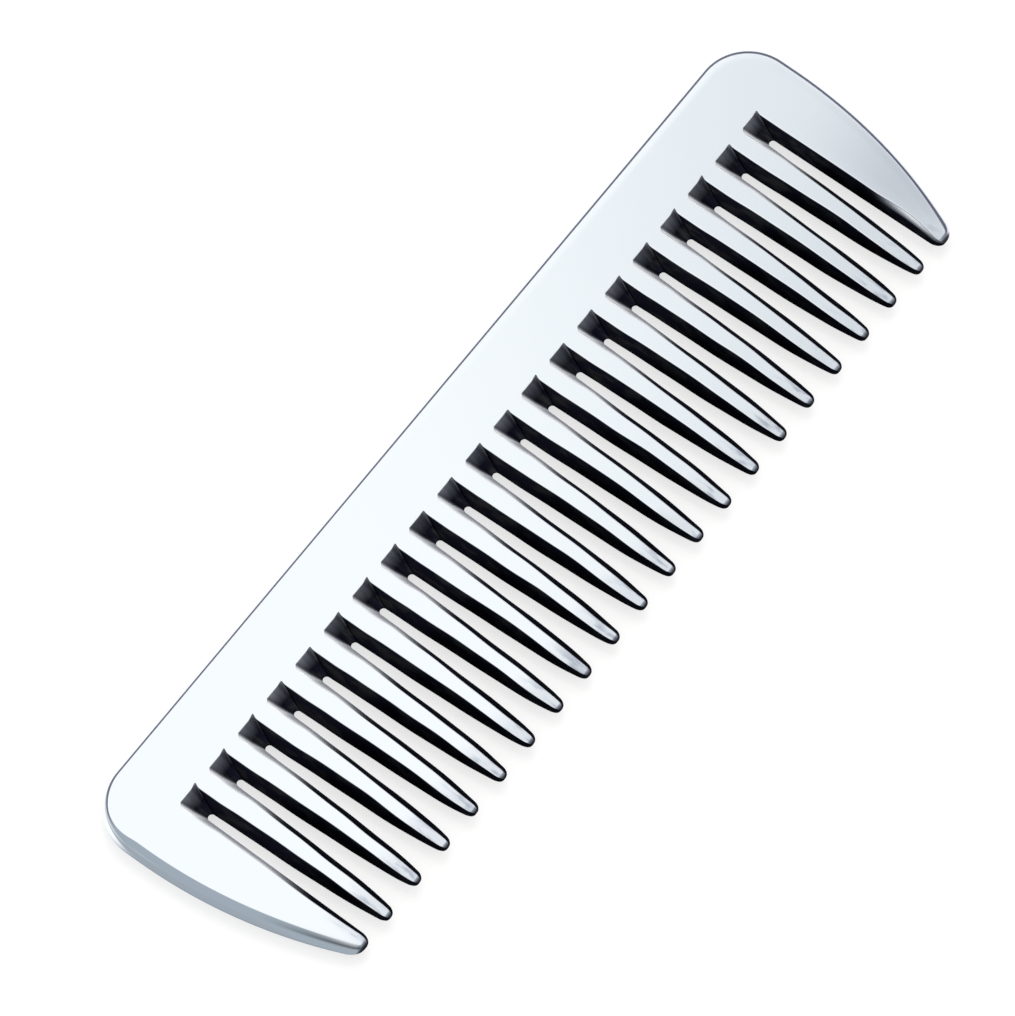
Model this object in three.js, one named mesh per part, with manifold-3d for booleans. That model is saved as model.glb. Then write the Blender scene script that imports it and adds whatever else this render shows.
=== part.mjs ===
// A small one-piece cast and polished aluminium hair comb, lying flat.
//
// Frame: millimetres, +X along the back, +Y from the teeth towards the back, +Z up.
// The origin is the centre of the comb's outline, on its flat underside.
//
// The casting is made as its working regions: the back with the webs between the teeth,
// a wide guard at each end, and the teeth. They meet on the flat root plane, y = ROOT_PLANE.
// Every section is the same above and below the parting plane, where the comb is widest.

import * as THREE from "three";
import { mergeVertices } from "three/addons/utils/BufferGeometryUtils.js";
import Module from "manifold-3d";

// ---- Driving dimensions ----

const TOOTH_COUNT = 20;
const TOOTH_PITCH = 4.35;        // centre to centre
const GUARD_REACH = 7.5;         // from the centre of the outermost gap to the end of the comb
const BACK_HEIGHT = 6.7;         // from the gaps' ends on the face to the back edge
const TOOTH_LENGTH = 19.8;       // from the web's edge at the parting plane to the tip
const THICKNESS = 2.5;

const ROOT_GAP = 0.78;           // gap at the parting plane, at the teeth's roots
const WEB_RUN = 2.55;            // how far the web slopes from the face to the parting plane
const WEB_CORNER = 0.5;          // corner radius of a gap's end on the face
const STUB = 0.65;               // from the web's edge to the root plane
const FLANK_RUN = 0.82;          // how far a flank slopes out from the face to the parting plane
const PARTING_LAND = 0.1;        // half height of the upright land at the parting plane

const TOOTH_TAPER = 1.2;         // how much narrower a tooth gets by an even taper
const TOOTH_POINTING = 1.05;     // how much more it narrows, mostly close to the tip
const POINTING_POWER = 6;
const TOOTH_TIP_ROUND = 0.75;    // length of a tooth's rounded tip
const TIP_THICKNESS = 0.95;      // thickness that teeth and guards thin down to
const THINNING_POWER = 4;

const EDGE_RUN = 1.05;           // width of the rounded outer edge, from the face's rim
const CORNER_RADIUS = 5.5;       // the back's two outer corners
const WIDEST_PLACE = 7.1;        // from the back edge to where the comb is longest
const GUARD_ARC = 53;            // radius of a guard's bulging outer side
const GUARD_INNER_LEAN = 0.25;   // how far a guard's inner side leans out of the gap by its tip
const GUARD_TIP_ROUND = 1.15;    // length of a guard's rounded tip

const STATIONS = 10;             // sections along a tooth or guard, up to its rounded tip
const TIP_STATIONS = 4;          // sections round the tip
const TIP_END = 0.3;             // share of the full section left at the blunt end of a tip
const CORNER_STEPS = 10;         // facets round an outer corner of the back
const WEB_STEPS = 4;             // facets round a corner of a gap's end
const EDGE_STEPS = 4;            // facets from the face's rim to the parting plane
const CUT_MARGIN = 1;            // how far a cutter runs past what it cuts

// ---- Places worked out from them ----

const HALF_THICKNESS = THICKNESS / 2;
const COMB_WIDTH = BACK_HEIGHT + WEB_RUN + TOOTH_LENGTH;
const BACK_EDGE = COMB_WIDTH / 2;
const TIP_LINE = -COMB_WIDTH / 2;
const FACE_GAP_END = BACK_EDGE - BACK_HEIGHT;
const WEB_EDGE = FACE_GAP_END - WEB_RUN;
const ROOT_PLANE = WEB_EDGE - STUB;
const PRONG_LENGTH = ROOT_PLANE - TIP_LINE;
const OUTER_GAP = (TOOTH_COUNT / 2) * TOOTH_PITCH;
const COMB_END = OUTER_GAP + GUARD_REACH;
const FLANK_HEIGHT = HALF_THICKNESS - PARTING_LAND;

const castAluminium = () =>
  new THREE.MeshStandardMaterial({ color: 0xe3e8ee, roughness: 0.22, metalness: 1.0 });

// ---- Helpers ----

/**
 * Makes one closed body from rings that all hold the same number of points.
 * Each ring runs anticlockwise seen from the last ring, looking back at the first.
 */
function loft(rings) {
  const count = rings[0].length;
  const positions = rings.flat().flatMap((p) => [p.x, p.y, p.z]);
  const faces = [];
  for (let ring = 0; ring + 1 < rings.length; ring++) {
    for (let i = 0; i < count; i++) {
      const a = ring * count + i;
      const b = ring * count + ((i + 1) % count);
      faces.push(a, b, b + count, a, b + count, a + count);
    }
  }
  const last = (rings.length - 1) * count;
  for (const [i, j, k] of capTriangles(rings[0])) faces.push(k, j, i);
  for (const [i, j, k] of capTriangles(rings.at(-1))) faces.push(last + i, last + j, last + k);
  const geometry = new THREE.BufferGeometry();
  geometry.setAttribute("position", new THREE.Float32BufferAttribute(positions, 3));
  geometry.setIndex(faces);
  return geometry;
}

/** Triangles of a flat ring, turning the way the ring runs. */
function capTriangles(ring) {
  const flatInY = ring.every((p) => Math.abs(p.y - ring[0].y) < 1e-6);
  const outline = ring.map((p) => (flatInY ? new THREE.Vector2(p.x, p.z) : new THREE.Vector2(p.x, p.y)));
  const turned = THREE.ShapeUtils.isClockWise(outline);
  return THREE.ShapeUtils.triangulateShape(outline, []).map(([i, j, k]) => {
    const side = new THREE.Vector2().subVectors(outline[j], outline[i]);
    const other = new THREE.Vector2().subVectors(outline[k], outline[i]);
    return side.cross(other) < 0 !== turned ? [i, k, j] : [i, j, k];
  });
}

/** Values from 0 to 1, both included. */
const steps = (count) => Array.from({ length: count + 1 }, (_, i) => i / count);

/** A side's profile from the face to the parting plane: how far out it is, and how high. */
const flankProfile = [
  { out: 0, up: 1 },
  { out: 1, up: PARTING_LAND / HALF_THICKNESS },
];
const roundedProfile = steps(EDGE_STEPS).map((t) => ({
  out: Math.sin((t * Math.PI) / 2),
  up: Math.cos((t * Math.PI) / 2),
}));

// ---- Teeth and guards ----

/** Half thickness of a tooth or guard at a distance below the root plane. */
function halfThicknessAt(distance) {
  const share = Math.min(distance / PRONG_LENGTH, 1);
  return HALF_THICKNESS - (HALF_THICKNESS - TIP_THICKNESS / 2) * share ** THINNING_POWER;
}

/**
 * One section across a tooth or guard, from its two sides at the parting plane.
 * A side is { x, run, profile }: where it is, how far it slopes, and by what profile.
 */
function prongSection(y, left, right, halfThickness) {
  const side = ({ x, run, profile }, inward, sign) =>
    profile.map(({ out, up }) =>
      new THREE.Vector3(x + inward * run * (1 - out), y, HALF_THICKNESS + sign * up * halfThickness));
  const half = (sign) => [...side(right, -1, sign).reverse(), ...side(left, 1, sign)];
  const joined = [...half(1), ...half(-1).reverse()];
  return joined.filter((p, i) => p.distanceTo(joined[(i + 1) % joined.length]) > 1e-6);
}

/**
 * A tooth or guard from the root plane down to its rounded tip.
 * sidesAt gives its two sides at a distance below the root plane.
 */
function prong(sidesAt, tipRound) {
  const straight = PRONG_LENGTH - tipRound;
  const body = steps(STATIONS).map((t) => ({ distance: t * straight, share: 1 }));
  const endAngle = Math.acos(TIP_END);
  const tip = steps(TIP_STATIONS).slice(1).map((t) => ({
    distance: straight + (tipRound * Math.sin(t * endAngle)) / Math.sin(endAngle),
    share: Math.cos(t * endAngle),
  }));
  const rings = [...body, ...tip].map(({ distance, share }) => {
    const { left, right } = sidesAt(distance);
    const middle = (left.x + right.x) / 2;
    const half = ((right.x - left.x) / 2) * share;
    return prongSection(
      ROOT_PLANE - distance,
      { ...left, x: middle - half, run: left.run * share },
      { ...right, x: middle + half, run: right.run * share },
      halfThicknessAt(distance) * (0.5 + 0.5 * share),
    );
  });
  return loft(rings);
}

/** How far a flank slopes out, which shrinks with the thickness so that its slope stays. */
const flankRunAt = (distance) => (FLANK_RUN * halfThicknessAt(distance)) / HALF_THICKNESS;

function tooth(centre) {
  const rootWidth = TOOTH_PITCH - ROOT_GAP;
  return prong((distance) => {
    const share = distance / PRONG_LENGTH;
    const half = (rootWidth - TOOTH_TAPER * share - TOOTH_POINTING * share ** POINTING_POWER) / 2;
    const side = { run: flankRunAt(distance), profile: flankProfile };
    return { left: { ...side, x: centre - half }, right: { ...side, x: centre + half } };
  }, TOOTH_TIP_ROUND);
}

/** How far the comb's end stands back at a height y, because the guard's outer side bulges. */
function bulgeAt(y) {
  const below = Math.max(BACK_EDGE - WIDEST_PLACE - y, 0);
  return GUARD_ARC - Math.sqrt(GUARD_ARC ** 2 - below ** 2);
}

/** The guard at one end: end is -1 at -X and 1 at +X. */
function guard(end) {
  return prong((distance) => {
    const lean = (GUARD_INNER_LEAN * distance) / PRONG_LENGTH;
    const inner = {
      x: end * (OUTER_GAP + ROOT_GAP / 2 + lean),
      run: flankRunAt(distance),
      profile: flankProfile,
    };
    const outer = {
      x: end * (COMB_END - bulgeAt(ROOT_PLANE - distance)),
      run: EDGE_RUN,
      profile: roundedProfile,
    };
    return end > 0 ? { left: inner, right: outer } : { left: outer, right: inner };
  }, GUARD_TIP_ROUND);
}

// ---- Back ----

/** The back's outline at an inset from the comb's outer edge, ending on the root plane. */
function backOutline(inset, z) {
  const right = [new THREE.Vector3(COMB_END - bulgeAt(ROOT_PLANE) - inset, ROOT_PLANE, z)];
  for (const t of steps(CORNER_STEPS)) {
    const angle = (t * Math.PI) / 2;
    right.push(new THREE.Vector3(
      COMB_END - CORNER_RADIUS + (CORNER_RADIUS - inset) * Math.cos(angle),
      BACK_EDGE - CORNER_RADIUS + (CORNER_RADIUS - inset) * Math.sin(angle),
      z,
    ));
  }
  const left = right.map((p) => new THREE.Vector3(-p.x, p.y, p.z)).reverse();
  return [...right, ...left];
}

/** The back as a blank, before the gaps' ends are cut into it. */
function backBlank() {
  const upper = roundedProfile.map(({ out, up }) =>
    backOutline(EDGE_RUN * (1 - out), HALF_THICKNESS + HALF_THICKNESS * up));
  const lower = roundedProfile.slice(0, -1).map(({ out, up }) =>
    backOutline(EDGE_RUN * (1 - out), HALF_THICKNESS - HALF_THICKNESS * up));
  return loft([...lower, ...upper.reverse()]);
}

/** The outline of a gap's end at one height: straight sides and a rounded end. */
function gapOutline(centre, halfWidth, endY, radius, z) {
  const right = [new THREE.Vector3(centre + halfWidth, ROOT_PLANE - CUT_MARGIN, z)];
  for (const t of steps(WEB_STEPS)) {
    const angle = (t * Math.PI) / 2;
    right.push(new THREE.Vector3(
      centre + halfWidth - radius + radius * Math.cos(angle),
      endY - radius + radius * Math.sin(angle),
      z,
    ));
  }
  const left = right.map((p) => new THREE.Vector3(2 * centre - p.x, p.y, p.z)).reverse();
  return [...right, ...left];
}

/** The cutter that leaves two root stubs and the web between them. */
function gapCutter(centre) {
  const narrow = ROOT_GAP / 2;
  const narrowRadius = narrow * 0.98;
  const beyond = 1 + CUT_MARGIN / FLANK_HEIGHT;
  const outline = (opening, z) => gapOutline(
    centre,
    narrow + FLANK_RUN * opening,
    WEB_EDGE + WEB_RUN * opening,
    narrowRadius + (WEB_CORNER - narrowRadius) * Math.min(opening, 1),
    z,
  );
  return loft([
    outline(beyond, -CUT_MARGIN),
    outline(0, FLANK_HEIGHT),
    outline(0, THICKNESS - FLANK_HEIGHT),
    outline(beyond, THICKNESS + CUT_MARGIN),
  ]);
}

// ---- Cutting the gaps' ends into the back ----

const wasm = await Module();
wasm.setup();

function toSolid(geometry) {
  const merged = mergeVertices(geometry);
  return new wasm.Manifold(new wasm.Mesh({
    numProp: 3,
    vertProperties: new Float32Array(merged.attributes.position.array),
    triVerts: new Uint32Array(merged.index.array),
  }));
}

function toGeometry(solid) {
  const mesh = solid.getMesh();
  const geometry = new THREE.BufferGeometry();
  geometry.setAttribute("position", new THREE.Float32BufferAttribute(mesh.vertProperties, 3));
  geometry.setIndex(new THREE.Uint32BufferAttribute(mesh.triVerts, 1));
  return geometry;
}

function combBack() {
  let back = toSolid(backBlank());
  for (let gap = 0; gap <= TOOTH_COUNT; gap++) {
    back = back.subtract(toSolid(gapCutter(gap * TOOTH_PITCH - OUTER_GAP)));
  }
  return toGeometry(back);
}

// ---- The comb ----

function piece(name, geometry) {
  geometry.computeVertexNormals();
  const mesh = new THREE.Mesh(geometry, castAluminium());
  mesh.name = name;
  return mesh;
}

const comb = new THREE.Group();
comb.name = "hair_comb";
comb.add(piece("comb_back", combBack()));
comb.add(piece("guard_left", guard(-1)));
comb.add(piece("guard_right", guard(1)));
for (let index = 0; index < TOOTH_COUNT; index++) {
  const name = `tooth_${String(index + 1).padStart(2, "0")}`;
  comb.add(piece(name, tooth((index + 0.5) * TOOTH_PITCH - OUTER_GAP)));
}

export default comb;
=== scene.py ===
"""A small one-piece cast and polished aluminium hair comb, lying flat on a pale table.

The comb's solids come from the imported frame. Each one is replaced here by a finer surface of the
same region of the casting: the back with its webs, the two guards and the twenty teeth.

Lengths are metres in Blender, written as millimetres times MM. While a surface is made, its
heights are measured from the parting plane, where the comb is widest. Every height is then
lifted by half the comb's thickness.
"""

import logging
import math
import random
from dataclasses import dataclass
from enum import Enum

import bmesh
import bpy
from mathutils import Matrix, Vector


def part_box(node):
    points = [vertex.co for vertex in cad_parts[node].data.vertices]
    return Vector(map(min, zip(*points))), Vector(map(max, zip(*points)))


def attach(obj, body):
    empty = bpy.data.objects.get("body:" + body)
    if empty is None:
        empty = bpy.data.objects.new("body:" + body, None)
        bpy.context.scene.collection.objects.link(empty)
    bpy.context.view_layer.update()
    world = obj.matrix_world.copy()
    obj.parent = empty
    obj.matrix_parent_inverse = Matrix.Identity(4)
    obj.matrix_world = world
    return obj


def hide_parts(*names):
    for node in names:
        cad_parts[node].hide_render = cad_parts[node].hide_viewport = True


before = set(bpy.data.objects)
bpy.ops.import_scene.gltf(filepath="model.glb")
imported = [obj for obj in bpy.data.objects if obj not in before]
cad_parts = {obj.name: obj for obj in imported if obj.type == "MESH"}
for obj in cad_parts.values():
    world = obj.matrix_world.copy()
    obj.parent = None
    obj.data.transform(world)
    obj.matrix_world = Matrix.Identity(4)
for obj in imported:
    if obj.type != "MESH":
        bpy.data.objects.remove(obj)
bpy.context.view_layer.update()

MM = 0.001
LOG = logging.getLogger("hair_comb")
BODY = "root"
# Vertex attribute of painted shade: 0 on polished metal, 1 painted dark in the recesses.
PAINTED_SHADE = "painted_shade"
# Vertex attribute of a painted grey reflection in the recesses, drawn matt.
PAINTED_REFLECTION = "painted_reflection"
MERGE_DISTANCE = 0.0005 * MM
SEED = 20

Colour = tuple[float, float, float]
Triple = tuple[float, float, float]
Pair = tuple[float, float]
Span = tuple[float, float]
Mesh = bmesh.types.BMesh
Material = bpy.types.Material
Piece = bpy.types.Object
Socket = bpy.types.NodeSocket
Tree = bpy.types.NodeTree


class End(Enum):
    """The comb's two ends, by the sign of their X."""

    LEFT = -1
    RIGHT = 1


# ---- Small calculations ----


def blend(start: float, end: float, share: float) -> float:
    """Returns the value at a share of the way from start to end."""
    return start + (end - start) * share


def smooth_step(low: float, high: float, value: float) -> float:
    """Returns 0 at low, 1 at high and a smooth change between them, whichever is the larger."""
    share = min(max((value - low) / (high - low), 0.0), 1.0)
    return share * share * (3.0 - 2.0 * share)


def bump_between(low: float, high: float, value: float) -> float:
    """Returns a smooth hump that is 1 half way between low and high and 0 outside them."""
    share = (value - low) / (high - low)
    return math.sin(math.pi * share) ** 2 if 0.0 < share < 1.0 else 0.0


def spaced(start: float, end: float, count: int) -> list[float]:
    """Returns count + 1 evenly spaced values from start to end."""
    return [blend(start, end, i / count) for i in range(count + 1)]


# ---- Profiles of a side ----


@dataclass(frozen=True)
class ProfilePoint:
    """A point of a side's profile.

    out is 0 at the face's rim and 1 at the parting plane, and it is below 0 on the face.
    up is the height as a share of the half thickness.
    """

    out: float
    up: float


def rounded_corner(
    before: Vector, corner: Vector, after: Vector, radius: float, steps: int
) -> list[Vector]:
    """Rounds one corner of a line.

    Args:
        before: The point before the corner.
        corner: The corner itself.
        after: The point after the corner.
        radius: The radius of the arc.
        steps: How many chords the arc gets.

    Returns:
        The points of the arc, its two ends included.
    """
    into = (corner - before).normalized()
    out_of = (after - corner).normalized()
    turn = into.angle(out_of)
    reach = radius * math.tan(turn / 2)
    start, end = corner - into * reach, corner + out_of * reach
    centre = corner + (out_of - into).normalized() * (radius / math.cos(turn / 2))
    points = []
    for share in spaced(0.0, 1.0, steps):
        chord = start.lerp(end, share)
        points.append(centre + (chord - centre).normalized() * radius)
    return points


FULL_HALF = 1.25  # The comb's half thickness in millimetres, which the profiles are drawn for.


@dataclass(frozen=True)
class SideShape:
    """How a side falls from the face to the parting plane, as a line with rounded corners.

    corners are (distance from the rim, height) in millimetres. Each has its own radius and
    number of chords. The profile starts on the face, where the line comes from face_margin
    behind the rim, with one point that supports the first corner.
    """

    run: float
    corners: tuple[Pair, ...]
    radii: tuple[float, ...]
    chords: tuple[int, ...]
    face_margin: float = 0.5
    support: float = 0.05

    def profile(self) -> list[ProfilePoint]:
        """Works out the profile.

        Returns:
            Its points from the face, past the rim, down to the parting plane.
        """
        line = [Vector((-self.face_margin, FULL_HALF))]
        line += [Vector(corner) for corner in self.corners]
        line.append(Vector((self.run, 0.0)))
        points: list[Vector] = []
        for index, (radius, chords) in enumerate(zip(self.radii, self.chords), start=1):
            points += rounded_corner(line[index - 1], line[index], line[index + 1], radius, chords)
        points.insert(0, points[0] - Vector((self.support, 0.0)))
        points.append(line[-1])
        return [ProfilePoint(p.x / self.run, p.y / FULL_HALF) for p in points]


FLANK = SideShape(
    run=0.82,
    corners=((0.0, FULL_HALF), (0.41, 0.675), (0.82, 0.1)),
    radii=(0.22, 6.0, 0.16),
    chords=(6, 3, 4),
).profile()
CREST = SideShape(
    run=1.05,
    corners=((0.0, FULL_HALF), (0.78, FULL_HALF - 0.05), (1.05, 0.2)),
    radii=(9.0, 0.48, 0.5),
    chords=(3, 7, 3),
).profile()
BROAD = SideShape(
    run=1.05,
    corners=((0.0, FULL_HALF), (0.62, 0.86), (1.05, 0.22)),
    radii=(0.4, 0.9, 0.45),
    chords=(5, 4, 4),
).profile()


def between(first: list[ProfilePoint], second: list[ProfilePoint], share: float) -> list[ProfilePoint]:
    """Returns the profile at a share of the way from the first profile to the second."""
    return [
        ProfilePoint(blend(a.out, b.out, share), blend(a.up, b.up, share))
        for a, b in zip(first, second)
    ]


# ---- Painted shade in the recesses ----


@dataclass(frozen=True)
class RecessShade:
    """Where the painted shade starts on a side, by height as a share of the half thickness.

    Above face_level a point belongs to the face. Below it the painted shade turns dark at once,
    and slowly on a side with a painted grey reflection. The crease span places a painted dark line
    below the rim, and the facet span a painted light one.
    """

    face_level: float = 0.9995
    dark_by: float = 0.975
    painted_reflection_least: float = 0.6
    painted_reflection_span: Span = (0.45, 0.97)
    painted_crease_span: Span = (0.62, 1.02)
    facet_and_highlight_span: Span = (0.90, 0.965)
    highlight_painted_shade: float = 0.05

    def on_face(self, point: ProfilePoint) -> bool:
        """Returns whether a profile point belongs to the face."""
        return point.up >= self.face_level

    def on_painted_highlight(self, point: ProfilePoint) -> bool:
        """Returns whether a profile point is on the strip that gets a painted highlight."""
        low, high = self.facet_and_highlight_span
        return low < point.up < high

    def depth(self, point: ProfilePoint, painted_reflection: float) -> float:
        """Works out how much painted shade a profile point gets.

        Args:
            point: The profile point.
            painted_reflection: How much painted grey reflection the side has; its painted shade darkens more
                slowly.

        Returns:
            The painted shade, 0 on the face and 1 painted dark.
        """
        sudden = 1.0 - smooth_step(self.dark_by, self.face_level, point.up)
        slow = blend(self.painted_reflection_least, 1.0, 1.0 - smooth_step(*self.painted_reflection_span, point.up))
        return blend(sudden, 0.0 if self.on_face(point) else slow, painted_reflection)


SHADE = RecessShade()


# ---- Sheets of surface ----


@dataclass(frozen=True)
class SurfacePoint:
    """A point of a surface with its painted shade and painted grey reflection.

    recess is painted shade, 0 on polished metal and 1 painted dark in the recesses. satin is 1
    where a painted grey reflection lies over that shade.
    """

    place: Vector
    painted_shade: float = 0.0
    painted_reflection: float = 0.0

    def below(self) -> "SurfacePoint":
        """Returns the same point on the other side of the parting plane."""
        return SurfacePoint(Vector((self.place.x, self.place.y, -self.place.z)), self.painted_shade, self.painted_reflection)


def add_sheet(bm: Mesh, rows: list[list[SurfacePoint]]) -> None:
    """Adds a grid of faces with one vertex at each point of the rows.

    Args:
        bm: The mesh to add to.
        rows: Rows of points, each with the same number of points.
    """
    layers = bm.verts.layers.float
    painted_shade = layers.get(PAINTED_SHADE) or layers.new(PAINTED_SHADE)
    painted_reflection = layers.get(PAINTED_REFLECTION) or layers.new(PAINTED_REFLECTION)
    made = bmesh.ops.create_grid(bm, x_segments=len(rows[0]) - 1, y_segments=len(rows) - 1, size=0.5)
    flat = [point for row in rows for point in row]
    for vertex, point in zip(made["verts"], flat):
        vertex.co = point.place
        vertex[painted_shade] = point.painted_shade
        vertex[painted_reflection] = point.painted_reflection


def close_surface(bm: Mesh) -> None:
    """Merges a built surface, fills its cut ends with sharp rims and turns its faces outwards.

    Args:
        bm: The mesh, which is changed in place.
    """
    bmesh.ops.remove_doubles(bm, verts=bm.verts[:], dist=MERGE_DISTANCE)
    bmesh.ops.dissolve_degenerate(bm, edges=bm.edges[:], dist=MERGE_DISTANCE)
    for face in bm.faces:
        face.smooth = True
    open_edges = [edge for edge in bm.edges if edge.is_boundary]
    for edge in open_edges:
        edge.smooth = False
    bmesh.ops.edgeloop_fill(bm, edges=open_edges)
    bmesh.ops.recalc_face_normals(bm, faces=bm.faces[:])


def make_object(bm: Mesh, name: str, material: Material) -> Piece:
    """Turns a mesh into an object of the scene.

    Args:
        bm: The mesh, which is freed.
        name: The new object's name.
        material: Its material.

    Returns:
        The new object.
    """
    mesh = bpy.data.meshes.new(name)
    bm.to_mesh(mesh)
    bm.free()
    mesh.materials.append(material)
    made = bpy.data.objects.new(name, mesh)
    bpy.context.scene.collection.objects.link(made)
    return made


def finish_piece(bm: Mesh, node: str, material: Material) -> Piece:
    """Closes a built surface and makes it the piece that stands for one CAD node.

    Args:
        bm: The mesh, which is freed.
        node: The CAD node that it replaces.
        material: Its material.

    Returns:
        The new object.
    """
    close_surface(bm)
    piece = make_object(bm, f"{node}_polished", material)
    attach(piece, BODY)
    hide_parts(node)
    LOG.info("%s: %d faces, stands for %s", piece.name, len(piece.data.polygons), node)
    return piece


# ---- Places in the frame ----


@dataclass(frozen=True)
class CombFrame:
    """The places that every piece shares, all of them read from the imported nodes."""

    tooth_nodes: list[str]
    tooth_centres: list[float]
    root_plane: float
    tip_line: float
    back_edge: float
    comb_end: float
    half_thickness: float
    root_half_width: float

    @classmethod
    def read(cls) -> "CombFrame":
        """Reads the nodes' boxes.

        Returns:
            The places worked out from them.
        """
        tooth_nodes = sorted(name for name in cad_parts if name.startswith("tooth_"))
        boxes = [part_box(name) for name in tooth_nodes]
        back_low, back_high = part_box("comb_back")
        return cls(
            tooth_nodes=tooth_nodes,
            tooth_centres=[(low.x + high.x) / 2 for low, high in boxes],
            root_plane=back_low.y,
            tip_line=boxes[0][0].y,
            back_edge=back_high.y,
            comb_end=back_high.x,
            half_thickness=(back_high.z - back_low.z) / 2,
            root_half_width=(boxes[0][1].x - boxes[0][0].x) / 2,
        )

    @property
    def pitch(self) -> float:
        """The distance between the middles of two teeth."""
        return self.tooth_centres[1] - self.tooth_centres[0]

    @property
    def gap_centres(self) -> list[float]:
        """The middles of the gaps, one more than there are teeth."""
        first = self.tooth_centres[0] - self.pitch / 2
        return [first + index * self.pitch for index in range(len(self.tooth_centres) + 1)]

    @property
    def gap_half_width(self) -> float:
        """Half the gap between two teeth at the root plane, on the parting plane."""
        return self.pitch / 2 - self.root_half_width

    @property
    def prong_length(self) -> float:
        """The length of a tooth or guard below the root plane."""
        return self.root_plane - self.tip_line


@dataclass(frozen=True)
class OuterEdge:
    """The outline of the comb's ends and corners on the parting plane, and its rounded edge.

    The left end's edge turns from a crest at broad_from into a broad slope at broad_by. The
    +X slopes of the teeth and of the left guard are a little narrower in their upper half.
    """

    places: CombFrame
    broad_run: float = 1.05 * MM
    crest_run: float = 1.25 * MM
    broad_from: float = 13.2 * MM
    broad_by: float = 8.4 * MM
    corner_radius: float = 5.5 * MM
    widest_place: float = 7.1 * MM
    guard_arc: float = 53.0 * MM
    flank_narrowing: float = 0.15
    narrow_by: float = 0.1
    narrow_until: Span = (0.3, 0.7)

    def side_run(self, end: End) -> float:
        """Returns how wide the rounded edge is at an end."""
        return self.crest_run if end is End.RIGHT else self.broad_run

    def side_profile(self, end: End, y: float) -> list[ProfilePoint]:
        """Returns the rounded edge's profile at an end, at a height y on the outline."""
        broad = smooth_step(self.broad_from, self.broad_by, y)
        return CREST if end is End.RIGHT else between(CREST, BROAD, broad)

    def narrowing(self, share: float) -> float:
        """Returns how much narrower a +X flank is at a share of the way to the tip."""
        left = 1.0 - smooth_step(*self.narrow_until, share)
        return self.flank_narrowing * smooth_step(0.0, self.narrow_by, share) * left

    def bulge(self, y: float) -> float:
        """Returns how far the comb's end stands back at a height y on the outline."""
        below = max(self.places.back_edge - self.widest_place - y, 0.0)
        return self.guard_arc - math.sqrt(self.guard_arc**2 - below**2)


# ---- Teeth and guards ----


@dataclass(frozen=True)
class Side:
    """One side of a section: where it meets the parting plane, its run, profile and painted shade.

    recess is its painted shade, satin a painted grey reflection over it, and crease and facet are
    the strengths of a painted dark line and a painted highlight below the rim.
    """

    x: float
    run: float
    profile: list[ProfilePoint]
    painted_shade: float
    painted_reflection: float = 0.0
    painted_crease: float = 0.0
    facet_and_highlight: float = 0.0


@dataclass(frozen=True)
class Section:
    """One section of a tooth or guard, at y, with the half thickness that it has there.

    The flat face between the two rims gets face_steps strips. end_painted_shade is the least painted shade
    of the whole ring, which paints the end of a tip dark.
    """

    y: float
    left: Side
    right: Side
    half: float
    face_steps: int
    end_painted_shade: float

    def side_point(self, side: Side, inward: int, point: ProfilePoint) -> SurfacePoint:
        """Places one point of a side, in the upper half.

        Args:
            side: The side.
            inward: The sign of X that leads from the side to the middle.
            point: The profile point.

        Returns:
            The point with its painted shade and painted grey reflection.
        """
        x = side.x + inward * side.run * (1.0 - point.out)
        # Painted shade: dark in the recesses, at a tip's end and along a painted dark line, and lighter on a
        # painted highlight.
        painted_shade = max(side.painted_shade * SHADE.depth(point, side.painted_reflection), self.end_painted_shade)
        painted_shade = max(painted_shade, side.painted_crease * bump_between(*SHADE.painted_crease_span, point.up))
        painted_reflection = 0.0 if SHADE.on_face(point) else side.painted_reflection
        if side.facet_and_highlight > 0.0 and SHADE.on_painted_highlight(point):
            painted_shade, painted_reflection = blend(painted_shade, SHADE.highlight_painted_shade, side.facet_and_highlight), side.facet_and_highlight
        return SurfacePoint(Vector((x, self.y, self.half * point.up)), painted_shade, painted_reflection)

    def ring(self) -> list[SurfacePoint]:
        """Makes the section's closed ring of points.

        Returns:
            The points, from the right side over the top, down the left side and back underneath.
        """
        upper = [self.side_point(self.right, -1, point) for point in reversed(self.right.profile)]
        left_side = [self.side_point(self.left, 1, point) for point in self.left.profile]
        start, end = upper[-1].place, left_side[0].place
        for share in spaced(0.0, 1.0, self.face_steps)[1:-1]:
            upper.append(SurfacePoint(start.lerp(end, share), self.end_painted_shade))
        upper += left_side
        lower = [point.below() for point in reversed(upper[1:-1])]
        return upper + lower + upper[:1]


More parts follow.
